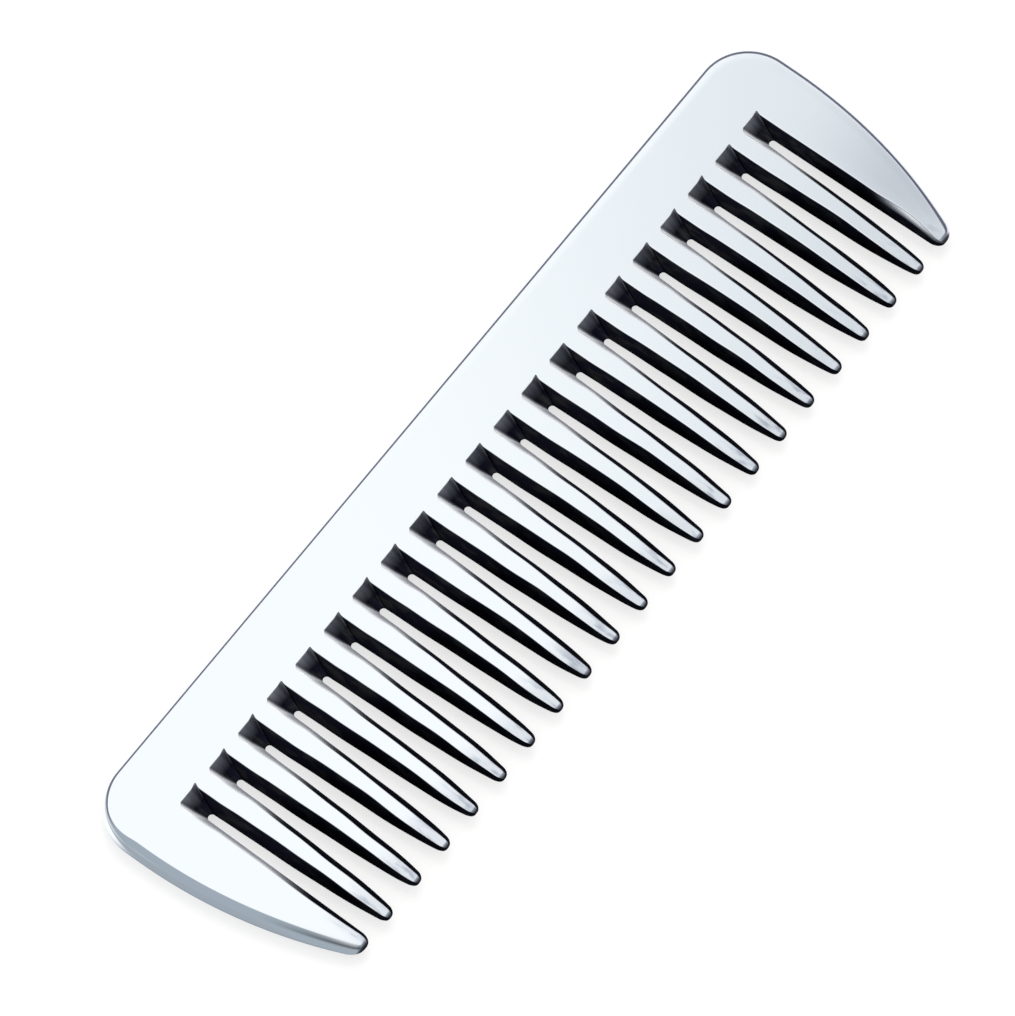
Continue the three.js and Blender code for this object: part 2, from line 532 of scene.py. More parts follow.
@dataclass(kw_only=True)
class Prong:
    """What a tooth and a guard share: a body from the root plane to a rounded tip.

    Its last tip_round narrows along a quarter turn, and its last tip_roll thins to nothing. It is
    painted dark, as painted shade, from end_dark_from before the tip to end_dark_by before it.
    """

    places: CombFrame
    edge: OuterEdge
    flank_run: float = 0.82 * MM
    tip_half_thickness: float = 0.475 * MM
    thinning_power: float = 4.0
    tip_round: float
    tip_roll: float
    tip_fullness: float
    roll_power: float = 2.4
    straight_stations: int
    tip_stations: int
    face_steps: int
    end_darkness: float
    end_dark_from: float = 0.42 * MM
    end_dark_by: float

    @property
    def node(self) -> str:
        """The CAD node that this prong stands for."""
        raise NotImplementedError

    def section(self, distance: float, width_share: float, height_share: float) -> Section:
        """Returns the section at a distance below the root plane, with its shares of full size."""
        raise NotImplementedError

    def half_at(self, distance: float) -> float:
        """Returns the half thickness at a distance below the root plane."""
        full = self.places.half_thickness
        share = min(distance / self.places.prong_length, 1.0)
        return full - (full - self.tip_half_thickness) * share**self.thinning_power

    def run_at(self, half: float, width_share: float) -> float:
        """Returns the run of a flank where the prong has that half thickness."""
        return self.flank_run * half / self.places.half_thickness * width_share

    def end_painted_shade(self, distance: float) -> float:
        """Returns how much painted shade darkens the very end of the tip at a distance below the root plane.
        """
        to_tip = self.places.prong_length - distance
        return self.end_darkness * (1.0 - smooth_step(self.end_dark_by, self.end_dark_from, to_tip))

    def build(self, material: Material) -> Piece:
        """Builds the prong.

        Args:
            material: The finish's material.

        Returns:
            Its object.
        """
        length = self.places.prong_length
        straight = length - self.tip_round
        rows = [
            self.section(distance, 1.0, 1.0).ring()
            for distance in spaced(0.0, straight, self.straight_stations)
        ]
        for angle in spaced(0.0, math.pi / 2, self.tip_stations)[1:]:
            distance = straight + self.tip_round * math.sin(angle)
            roll = max(distance - (length - self.tip_roll), 0.0) / self.tip_roll
            height_share = math.sqrt(max(1.0 - roll**self.roll_power, 0.0))
            width_share = math.cos(angle) ** self.tip_fullness
            rows.append(self.section(distance, width_share, height_share).ring())
        bm = bmesh.new()
        add_sheet(bm, rows)
        bmesh.ops.translate(bm, verts=bm.verts[:], vec=(0.0, 0.0, self.places.half_thickness))
        return finish_piece(bm, self.node, material)


@dataclass(kw_only=True)
class Tooth(Prong):
    """One tapered tooth. Its right side has a painted grey reflection near the root.

    Its edges waver along two waves. Near the tip its left slope narrows and its right slope
    widens. Shares run from 0 at the root plane to 1 at the tip.
    """

    index: int
    chance: random.Random
    taper: float = 1.2 * MM
    pointing: float = 1.05 * MM
    pointing_power: float = 6.0
    tip_round: float = 0.75 * MM
    tip_roll: float = 0.5 * MM
    tip_fullness: float = 0.8
    straight_stations: int = 44
    tip_stations: int = 14
    face_steps: int = 4
    end_darkness: float = 0.9
    end_dark_by: float = 0.1 * MM
    dark_span: Span = (0.10, 0.36)
    waver: float = 0.022 * MM
    long_wave: float = 9.0
    short_wave: float = 21.0
    waver_in: Span = (0.0, 0.12)
    waver_out: Span = (0.9, 1.0)
    tip_span: Span = (0.5, 0.95)
    left_narrowing: float = 0.38
    right_widening: float = 0.2

    def __post_init__(self) -> None:
        """Draws the phases of the tooth's slight unevenness."""
        self.phases = [self.chance.uniform(0.0, 2.0 * math.pi) for _ in range(4)]

    @property
    def node(self) -> str:
        """The CAD node that this tooth stands for."""
        return self.places.tooth_nodes[self.index]

    def unevenness(self, share: float, phase: float) -> float:
        """Works out how far a hand-finished edge wavers.

        Args:
            share: How far along the tooth the place is.
            phase: The phase of that edge's waves.

        Returns:
            The waver, which fades out at both ends of the tooth.
        """
        fade = smooth_step(*self.waver_in, share) * (1.0 - smooth_step(*self.waver_out, share))
        long_wave = math.sin(self.long_wave * share + phase)
        short_wave = math.sin(self.short_wave * share + 2 * phase) / 2
        return self.waver * fade * (long_wave + short_wave)

    def section(self, distance: float, width_share: float, height_share: float) -> Section:
        """Makes one section of the tooth.

        Args:
            distance: How far below the root plane it is.
            width_share: How much of the full width is left there.
            height_share: How much of the full thickness is left there.

        Returns:
            The section.
        """
        places = self.places
        centre = places.tooth_centres[self.index]
        share = distance / places.prong_length
        narrowing = self.taper * share + self.pointing * share**self.pointing_power
        half_width = (places.root_half_width - narrowing / 2) * width_share
        half = self.half_at(distance)
        run = self.run_at(half, width_share)
        left_x, right_x = (self.unevenness(share, phase) for phase in self.phases[:2])
        left_run, right_run = (run + self.unevenness(share, phase) for phase in self.phases[2:])
        near_tip = smooth_step(*self.tip_span, share)
        left_run *= 1.0 - self.left_narrowing * near_tip
        right_run *= 1.0 + self.right_widening * near_tip - self.edge.narrowing(share)
        # A painted grey reflection on the right side near the root, fading into painted shade.
        painted_reflection = 1.0 - smooth_step(*self.dark_span, share)
        return Section(
            y=places.root_plane - distance,
            left=Side(centre - half_width + left_x, left_run, FLANK, painted_shade=1.0),
            right=Side(centre + half_width + right_x, right_run, FLANK, painted_shade=1.0, painted_reflection=painted_reflection),
            half=half * height_share,
            face_steps=self.face_steps,
            end_painted_shade=self.end_painted_shade(distance),
        )


@dataclass(kw_only=True)
class Guard(Prong):
    """The wide guard at one end.

    The left one has a painted grey reflection near its root and a painted dark line along its outer
    edge. The right one has a short widened slope with a painted highlight, beside its inner side in
    painted shade. Shares run from 0 at the root plane to 1 at the tip.
    """

    end: End
    inner_lean: float = 0.25 * MM
    tip_round: float = 1.15 * MM
    tip_roll: float = 0.6 * MM
    tip_fullness: float = 0.7
    straight_stations: int = 56
    tip_stations: int = 16
    face_steps: int = 8
    end_darkness: float = 0.95
    end_dark_by: float = 0.15 * MM
    dark_span: Span = (0.35, 0.7)
    painted_crease_span: Span = (0.45, 0.95)
    facet_and_highlight_span: Span = (0.55, 1.06)
    facet_widening: float = 0.45

    @property
    def node(self) -> str:
        """The CAD node that this guard stands for."""
        return f"guard_{self.end.name.lower()}"

    def inner_side(self, x: float, run: float, share: float) -> Side:
        """Makes the side towards the teeth.

        Args:
            x: Where it meets the parting plane.
            run: The plain run of its slope.
            share: How far along the guard it is.

        Returns:
            The side.
        """
        # The left guard's inner side gets a painted grey reflection near its root; the right one's widened
        # slope gets a painted highlight.
        if self.end is End.LEFT:
            painted_reflection = 1.0 - smooth_step(*self.dark_span, share)
            return Side(x, run * (1.0 - self.edge.narrowing(share)), FLANK, painted_shade=1.0, painted_reflection=painted_reflection)
        facet_and_highlight = bump_between(*self.facet_and_highlight_span, share)
        return Side(x, run * (1.0 + self.facet_widening * facet_and_highlight), FLANK, painted_shade=1.0, facet_and_highlight=facet_and_highlight)

    def section(self, distance: float, width_share: float, height_share: float) -> Section:
        """Makes one section of the guard.

        Args:
            distance: How far below the root plane it is.
            width_share: How much of the full width is left there.
            height_share: How much of the full thickness is left there.

        Returns:
            The section.
        """
        places, sign = self.places, self.end.value
        share = distance / places.prong_length
        y = places.root_plane - distance
        half = self.half_at(distance)
        inner_x = sign * (places.gap_centres[-1] + places.gap_half_width + self.inner_lean * share)
        outer_x = sign * (places.comb_end - self.edge.bulge(y))
        middle, reach = (inner_x + outer_x) / 2, (outer_x - inner_x) / 2 * width_share
        inner = self.inner_side(middle - reach, self.run_at(half, width_share), share)
        # A painted dark line along the left guard's outer edge, as painted shade.
        painted_crease = smooth_step(*self.painted_crease_span, share) if self.end is End.LEFT else 0.0
        outer_run = self.edge.side_run(self.end) * width_share
        outer = Side(middle + reach, outer_run, self.edge.side_profile(self.end, y), 0.0, painted_crease=painted_crease)
        left, right = (inner, outer) if self.end is End.RIGHT else (outer, inner)
        return Section(y, left, right, half * height_share, self.face_steps, self.end_painted_shade(distance))


# ---- Back ----


@dataclass(frozen=True)
class Station:
    """A station of the U round a gap, with its points relative to the gap's middle.

    inner is on the parting plane, rim on the face's rim and border on the cell's outer border.
    side is 1 at +X and -1 at -X. web is how far the station is into the web, and near_corner how
    close it is to the middle of its corner.
    """

    inner: Vector
    rim: Vector
    border: Vector
    side: float
    web: float
    near_corner: float

    @property
    def spike(self) -> float:
        """How much of the horn this station has. Only the +X corner has one."""
        return self.near_corner if self.side > 0 else 0.0

    def across(self) -> "Station":
        """Returns the same station on the gap's other side."""
        places = [Vector((-p.x, p.y)) for p in (self.inner, self.rim, self.border)]
        return Station(*places, -self.side, self.web, self.near_corner)


@dataclass(frozen=True)
class GapPaintedLight:
    """The painted grey reflections, highlight and shade in a gap's end.

    The horn and the web's top have a painted grey cup below the rim. The -X side has a painted grey
    reflection, painted lighter where a ledge catches the light, with a painted dark line at the rim that
    grows towards +X.
    """

    horn_grey: float = 0.55
    cup_grey: float = 0.4
    most_grey: float = 0.6
    cup_span: Span = (0.55, 0.95)
    grey_span: Span = (0.42, 0.02)
    side_reflection_span: Span = (0.25, 0.9)
    ledge_painted_highlight: float = 0.75
    ledge_from: float = -2.6 * MM
    ledge_by: float = 0.4 * MM
    ledge_span: Span = (0.75, 0.35)
    rim_shade_places: Span = (-30.0 * MM, 40.0 * MM)
    rim_shade_span: Span = (0.93, 1.0)

    def side_reflection(self, station: Station) -> float:
        """Returns how much painted grey reflection a station has. It fades out into the web."""
        return 1.0 - smooth_step(*self.side_reflection_span, station.web)

    def grey(self, station: Station, point: ProfilePoint, ledge: float) -> float:
        """Works out how grey the painted cup is at a point.

        Args:
            station: The point's station.
            point: Its profile point.
            ledge: The strength of the ledge in this gap.

        Returns:
            The grey, as a painted grey reflection value.
        """
        cup = self.cup_grey * ledge * smooth_step(*self.cup_span, station.web)
        grey = min(self.horn_grey * station.spike + cup, self.most_grey)
        return grey * smooth_step(*self.grey_span, point.out)

    def tones(
        self, station: Station, point: ProfilePoint, ledge: float, from_end: float, centre: float
    ) -> tuple[float, float]:
        """Works out the painted shade and painted grey reflection of one point.

        Args:
            station: The point's station.
            point: Its profile point.
            ledge: The strength of the ledge in this gap.
            from_end: How far the station's rim is past the web's end, along Y.
            centre: Where the gap is along the comb.

        Returns:
            The painted shade and the painted grey reflection.
        """
        painted_reflection = self.grey(station, point, ledge)
        if station.side > 0:
            return SHADE.depth(point, 0.0), painted_reflection
        side_reflection = self.side_reflection(station)
        painted_reflection = max(side_reflection, painted_reflection)
        # A painted highlight where a ledge catches the light, and a painted dark line at the rim.
        near_end = bump_between(self.ledge_from, self.ledge_by, from_end)
        painted_highlight = self.ledge_painted_highlight * ledge * near_end * painted_reflection * smooth_step(*self.ledge_span, point.out)
        rim_painted_shade = ledge * smooth_step(*self.rim_shade_places, centre)
        rim_painted_shade *= near_end * painted_reflection * bump_between(*self.rim_shade_span, point.up)
        return max(SHADE.depth(point, side_reflection) * (1.0 - painted_highlight), rim_painted_shade), painted_reflection * (1.0 - rim_painted_shade)


@dataclass
class GapEnd:
    """The end of one gap: two root stubs, the sloping web between them and the face round it.

    Its surface runs in a U round the gap, in stretches up the right side, round the right
    corner, across the top and down the left side in the same way. The web is hollowed by the
    scoop, and the face's +X corner is drawn out into a small horn.
    """

    places: CombFrame
    centre: float
    cell_top: float
    chance: random.Random
    # The painted grey reflections, highlight and shade of this gap's end.
    finish: GapPaintedLight = GapPaintedLight()
    web_run: float = 2.55 * MM
    stub: float = 0.43 * MM
    flank_run: float = 0.82 * MM
    corner: float = 0.5 * MM
    side_steps: int = 14
    corner_steps: int = 12
    top_steps: int = 8
    side_top_share: float = 0.5
    border_bunching: float = 1.6
    border_turn: float = 0.6
    horn_reach: float = 0.62 * MM
    horn_direction: Pair = (0.8, 0.6)
    horn_spread: float = 22.0
    horn_dip: float = 0.10
    horn_dip_by: float = 0.12
    scoop_depth: float = 0.175
    scoop_fullness: float = 1.2
    support_narrowing: float = 0.9
    horn_choice: Span = (0.5, 0.85)
    scoop_choice: Span = (0.8, 1.2)
    ledge_choice: Span = (0.45, 1.0)

    @property
    def web_edge(self) -> float:
        """The web's edge on the parting plane, along Y."""
        return self.places.root_plane + self.stub

    @property
    def rim_corner(self) -> Vector:
        """Where the rim's straight lines would meet, relative to the gap's middle."""
        return Vector((self.places.gap_half_width + self.flank_run, self.web_edge + self.web_run))

    @property
    def side_top(self) -> float:
        """How far up the border of the cell the stretch along the side reaches."""
        return self.cell_top - (self.cell_top - self.places.root_plane) * self.side_top_share

    def rim_and_border(self, step: int) -> tuple[Vector, Vector]:
        """Finds the rim and the border past the side's stretch.

        Args:
            step: Which step it is, from 0 at the foot of the corner.

        Returns:
            The rim's and the border's point.
        """
        rim, border_x = self.rim_corner, self.places.pitch / 2
        turn_x = border_x * self.border_turn
        if step > self.corner_steps:
            across = (step - self.corner_steps) / self.top_steps
            return (
                Vector((blend(rim.x - self.corner, 0.0, across), rim.y)),
                Vector((blend(turn_x, 0.0, across), self.cell_top)),
            )
        turn = (math.pi / 2) * step / self.corner_steps
        round_rim = Vector((
            rim.x - self.corner + self.corner * math.cos(turn),
            rim.y - self.corner + self.corner * math.sin(turn),
        ))
        middle = self.corner_steps // 2
        if step <= middle:
            up = (step / middle) ** self.border_bunching
            return round_rim, Vector((border_x, blend(self.side_top, self.cell_top, up)))
        across = (step - middle) / (self.corner_steps - middle)
        return round_rim, Vector((blend(border_x, turn_x, across), self.cell_top))

    def stations(self) -> list[Station]:
        """Lists the stations of the U.

        Returns:
            The stations, from the right foot over the top to the left foot.
        """
        half, root = self.places.gap_half_width, self.places.root_plane
        arc_middle = self.web_edge - half
        rim, border_x = self.rim_corner, self.places.pitch / 2
        right = []
        for share in spaced(0.0, 1.0, self.side_steps)[:-1]:
            right.append(Station(
                inner=Vector((half, blend(root, arc_middle, share))),
                rim=Vector((rim.x, blend(root, rim.y - self.corner, share))),
                border=Vector((border_x, blend(root, self.side_top, share))),
                side=1.0, web=0.0, near_corner=0.0,
            ))
        steps = self.corner_steps + self.top_steps
        for step in range(steps + 1):
            arc = (math.pi / 2) * step / steps
            off_corner = 90.0 * step / self.corner_steps - 45.0
            right.append(Station(
                Vector((half * math.cos(arc), arc_middle + half * math.sin(arc))),
                *self.rim_and_border(step),
                side=1.0,
                web=math.sin(arc),
                near_corner=math.exp(-((off_corner / self.horn_spread) ** 2)),
            ))
        return right + [station.across() for station in reversed(right[:-1])]

    def flat_place(self, station: Station, point: ProfilePoint, horn: float) -> Vector:
        """Finds where a profile point is, seen from above.

        Args:
            station: The station that it belongs to.
            point: The profile point.
            horn: The length of this gap's horn.

        Returns:
            The place, relative to the gap's middle.
        """
        start = station.rim + Vector(self.horn_direction) * horn * station.spike
        if point.out < 0.0:
            support = self.flank_run * point.out * (1.0 - self.support_narrowing * station.near_corner)
            return start - (station.border - start).normalized() * support
        return start + (station.inner - start) * point.out

    def height(self, station: Station, point: ProfilePoint, scoop: float) -> float:
        """Works out the height of a profile point with the web's hollow and the horn's dip.

        Args:
            station: The station that it belongs to.
            point: The profile point.
            scoop: The depth of this gap's hollow.

        Returns:
            The height as a share of the half thickness.
        """
        if not 0.0 < point.out < 1.0:
            return point.up
        hollow = scoop * station.web * math.sin(math.pi * point.out) ** self.scoop_fullness
        dip = self.horn_dip * station.spike * smooth_step(0.0, self.horn_dip_by, point.out)
        return point.up - hollow - dip * (1.0 - point.out)

    def rows(self) -> list[list[SurfacePoint]]:
        """Makes the upper surface.

        Returns:
            Its rows, from the parting plane out to the cell's border.
        """
        half_thickness = self.places.half_thickness
        horn = self.horn_reach * self.chance.uniform(*self.horn_choice)
        scoop = self.scoop_depth * self.chance.uniform(*self.scoop_choice)
        ledge = self.chance.uniform(*self.ledge_choice)
        stations = self.stations()
        rows = []
        for point in reversed(FLANK):
            row = []
            for station in stations:
                flat = self.flat_place(station, point, horn)
                z = half_thickness * self.height(station, point, scoop)
                place = Vector((self.centre + flat.x, flat.y, z))
                from_end = station.rim.y - self.rim_corner.y
                # Painted shade and painted grey reflection for this point.
                painted_shade, painted_reflection = self.finish.tones(station, point, ledge, from_end, self.centre)
                row.append(SurfacePoint(place, painted_shade, 0.0 if SHADE.on_face(point) else painted_reflection))
            rows.append(row)
        rows.append([SurfacePoint(Vector((*place, half_thickness))) for place in self.border()])
        return rows

    def border(self) -> list[Vector]:
        """Returns the cell's outer border, from the right foot round to the left foot."""
        places = [station.border for station in self.stations()]
        return [Vector((self.centre + place.x, place.y)) for place in places]


@dataclass(frozen=True)
class EdgeStation:
    """A point of the comb's outline with the direction inwards and its rounded edge."""

    place: Vector
    inward: Vector
    run: float
    profile: list[ProfilePoint]

    def surface(self, level: int, top: float) -> SurfacePoint:
        """Places one point of the rounded edge.

        Args:
            level: The point's number in the profile.
            top: The half thickness.

        Returns:
            The point.
        """
        point = self.profile[level]
        flat = self.place + self.inward * self.run * (1.0 - point.out)
        return SurfacePoint(Vector((*flat, top * point.up)))


@dataclass
class Back:
    """The comb's back: the ends of all gaps, the plate above them and its rounded outer edge.

    The outline has turn_steps steps for the first degrees of each corner, so that the steps
    beside the first cell stay level with it.
    """

    places: CombFrame
    edge: OuterEdge
    chance: random.Random
    node: str = "comb_back"
    plate_line: float = 10.0 * MM
    back_run: float = 1.05 * MM
    face_rows: int = 5
    turn_steps: int = 5
    first_turn: float = 20.0

    def inner_border(self, cells: list[GapEnd]) -> tuple[list[Vector], int]:
        """Joins the borders of the cells to the line that the outer band starts from.

        Args:
            cells: The gaps' ends from -X to +X.

        Returns:
            The points from the left foot round to the right foot, and how many of them lie
            on each foot's side.
        """
        sides = cells[0].side_steps + cells[0].corner_steps // 2
        line: list[Vector] = []
        for index, cell in enumerate(cells):
            border = list(reversed(cell.border()))
            first = 0 if index == 0 else sides + 1
            last = len(border) if index == len(cells) - 1 else len(border) - sides
            line += border[first:last]
        return line, sides

    def left_end(self, sides: int, across: int) -> list[tuple[Vector, Vector]]:
        """Lists the left end of the outline, from the foot up and round the corner.

        Args:
            sides: How many steps run up the foot.
            across: How many steps the rest of the corner gets.

        Returns:
            Each point's place and the direction inwards.
        """
        places, edge = self.places, self.edge
        middle = Vector((edge.corner_radius - places.comb_end, places.back_edge - edge.corner_radius))
        end = []
        for y in spaced(places.root_plane, middle.y, sides - self.turn_steps)[:-1]:
            end.append((Vector((edge.bulge(y) - places.comb_end, y)), Vector((1.0, 0.0))))
        first_turn = math.radians(self.first_turn)
        turns = spaced(0.0, first_turn, self.turn_steps) + spaced(first_turn, math.pi / 2, across)[1:]
        for angle in turns:
            outward = Vector((-math.cos(angle), math.sin(angle)))
            end.append((middle + outward * edge.corner_radius, -outward))
        return end

    def outline(self, count: int, sides: int, across: int) -> list[EdgeStation]:
        """Lists the comb's outline on the parting plane.

        Args:
            count: How many points it has.
            sides: How many steps run up each foot.
            across: How many steps one cell's top has, which is what each corner gets.

        Returns:
            The stations from the left foot round to the right foot.
        """
        left = self.left_end(sides, across)
        arc_x = self.places.comb_end - self.edge.corner_radius
        straight = count - 2 * len(left)
        top = [
            (Vector((x, self.places.back_edge)), Vector((0.0, -1.0)))
            for x in spaced(-arc_x, arc_x, straight + 1)[1:-1]
        ]
        right = [(Vector((-p.x, p.y)), Vector((-n.x, n.y))) for p, n in reversed(left)]
        stations = []
        for place, inward in left + top + right:
            end = End.LEFT if place.x < 0.0 else End.RIGHT
            run = blend(self.back_run, self.edge.side_run(end), abs(inward.x))
            stations.append(EdgeStation(place, inward, run, self.edge.side_profile(end, place.y)))
        return stations

    def build(self, material: Material) -> Piece:
        """Builds the back.

        Args:
            material: The finish's material.

        Returns:
            Its object.
        """
        cells = [
            GapEnd(self.places, centre, self.plate_line, self.chance)
            for centre in self.places.gap_centres
        ]
        bm = bmesh.new()
        for cell in cells:
            add_sheet(bm, cell.rows())
        line, sides = self.inner_border(cells)
        across = 2 * (cells[0].corner_steps // 2 + cells[0].top_steps)
        outline = self.outline(len(line), sides, across)
        top = self.places.half_thickness
        rows = [
            [station.surface(level, top) for station in outline]
            for level in reversed(range(len(CREST)))
        ]
        rim = rows[-1]
        for share in spaced(0.0, 1.0, self.face_rows)[1:]:
            rows.append([
                SurfacePoint(point.place.lerp(Vector((*place, top)), share))
                for point, place in zip(rim, line)
            ])
        add_sheet(bm, rows)
        bmesh.ops.remove_doubles(bm, verts=bm.verts[:], dist=MERGE_DISTANCE)
        whole = bm.verts[:] + bm.edges[:] + bm.faces[:]
        bmesh.ops.mirror(bm, geom=whole, merge_dist=MERGE_DISTANCE, axis="Z")
        bmesh.ops.translate(bm, verts=bm.verts[:], vec=(0.0, 0.0, top))
        return finish_piece(bm, self.node, material)


# ---- Node tools ----


def feed(tree: Tree, value: object, socket: Socket) -> None:
    """Gives a socket its input.

    Args:
        tree: The node tree.
        value: Another socket, a number, a vector or a colour.
        socket: The socket to link or set.
    """
    if isinstance(value, Socket):
        tree.links.new(value, socket)
    elif socket.type == "RGBA":
        socket.default_value = (*value, 1.0)
    else:
        socket.default_value = value


def add_node(tree: Tree, kind: str, inputs: dict[str | int, object], **settings: object) -> bpy.types.Node:
    """Adds a node.

    Args:
        tree: The node tree.
        kind: The node's type.
        inputs: What each input gets, by the input's name or number.
        settings: The node's own settings.

    Returns:
        The node.
    """
    node = tree.nodes.new(kind)
    for name, value in settings.items():
        setattr(node, name, value)
    for key, value in inputs.items():
        feed(tree, value, node.inputs[key])
    return node


def add_math(tree: Tree, operation: str, first: object, second: object = 0.0) -> Socket:
    """Adds a Math node on two sockets or numbers and returns its result."""
    return add_node(tree, "ShaderNodeMath", {0: first, 1: second}, operation=operation).outputs[0]


def add_ramp(tree: Tree, value: Socket, span: Span) -> Socket:
    """Adds a smooth rise of a value, 0 at the span's first end and 1 at its second."""
    inputs = {"Value": value, "From Min": span[0], "From Max": span[1]}
    return add_node(tree, "ShaderNodeMapRange", inputs, interpolation_type="SMOOTHSTEP").outputs["Result"]


def add_mix(tree: Tree, share: object, first: object, second: object) -> Socket:
    """Adds a mix of two colours, by a share that is 0 for the first and 1 for the second."""
    return add_node(tree, "ShaderNodeMix", {0: share, 6: first, 7: second}, data_type="RGBA").outputs[2]


def add_noise(tree: Tree, place: Socket, stretch: Triple, detail: float) -> Socket:
    """Adds a noise whose features have a set size along each axis.

    Args:
        tree: The node tree.
        place: The coordinates, in metres.
        stretch: The size of a feature along X, Y and Z, in metres.
        detail: How many finer layers it gets.

    Returns:
        The noise value.
    """
    scale = tuple(1.0 / size for size in stretch)
    mapping = add_node(tree, "ShaderNodeMapping", {"Vector": place, "Scale": scale})
    inputs = {"Vector": mapping.outputs["Vector"], "Scale": 1.0, "Detail": detail}
    return add_node(tree, "ShaderNodeTexNoise", inputs).outputs["Fac"]


def add_place(tree: Tree) -> tuple[Socket, Socket, Socket]:
    """Adds the object's own coordinates and returns them whole, their X and their Y."""
    place = tree.nodes.new("ShaderNodeTexCoord").outputs["Object"]
    split = add_node(tree, "ShaderNodeSeparateXYZ", {"Vector": place})
    return place, split.outputs["X"], split.outputs["Y"]


def add_glowing(tree: Tree, albedo: Colour, glow: object, strength: float) -> Socket:
    """Adds a matt surface that also glows.

    Args:
        tree: The node tree.
        albedo: The matt surface's colour.
        glow: The colour of the glow, or a socket with it.
        strength: The strength of the glow.

    Returns:
        The sum of the two.
    """
    matt = add_node(tree, "ShaderNodeBsdfDiffuse", {"Color": albedo})
    light = add_node(tree, "ShaderNodeEmission", {"Color": glow, "Strength": strength})
    return add_node(tree, "ShaderNodeAddShader", {0: matt.outputs[0], 1: light.outputs[0]}).outputs[0]


def add_ray_choice(tree: Tree, flag: str, otherwise: Socket, chosen: Socket) -> Socket:
    """Adds a choice between two shaders.

    Args:
        tree: The node tree.
        flag: The Light Path output that names a kind of ray.
        otherwise: The shader for every other ray.
        chosen: The shader for that kind of ray.

    Returns:
        The chosen shader.
    """
    rays = tree.nodes.new("ShaderNodeLightPath")
    inputs = {0: rays.outputs[flag], 1: otherwise, 2: chosen}
    return add_node(tree, "ShaderNodeMixShader", inputs).outputs[0]


def new_material(name: str) -> tuple[Material, Tree, Socket]:
    """Makes an empty node material.

    Args:
        name: The material's name.

    Returns:
        The material, its node tree and the socket that its surface goes to.
    """
    material = bpy.data.materials.new(name)
    material.use_nodes = True
    tree = material.node_tree
    tree.nodes.clear()
    return material, tree, tree.nodes.new("ShaderNodeOutputMaterial").inputs["Surface"]


# ---- Finishes ----


@dataclass(frozen=True)
class PolishingMarks:
    """The marks that hand polishing leaves, as a node group.

    It takes coordinates in metres and gives fine lines along the teeth, for roughness and
    bump, and soft cloudy smudges, for colour.
    """

    line_size: Triple = (0.07 * MM, 2.4 * MM, 0.07 * MM)
    smudge_size: Triple = (0.55 * MM, 2.2 * MM, 0.8 * MM)
    detail: float = 2.0
    smudge_span: Span = (0.45, 0.68)

    def build(self) -> bpy.types.NodeTree:
        """Builds the node group.

        Returns:
            The group.
        """
        group = bpy.data.node_groups.new("polishing_marks", "ShaderNodeTree")
        group.interface.new_socket("Coordinates", in_out="INPUT", socket_type="NodeSocketVector")
        for name in ("Lines", "Smudges"):
            group.interface.new_socket(name, in_out="OUTPUT", socket_type="NodeSocketFloat")
        place = group.nodes.new("NodeGroupInput").outputs["Coordinates"]
        leave = group.nodes.new("NodeGroupOutput")
        feed(group, add_noise(group, place, self.line_size, self.detail), leave.inputs["Lines"])
        cloudy = add_noise(group, place, self.smudge_size, self.detail)
        feed(group, add_ramp(group, cloudy, self.smudge_span), leave.inputs["Smudges"])
        return group


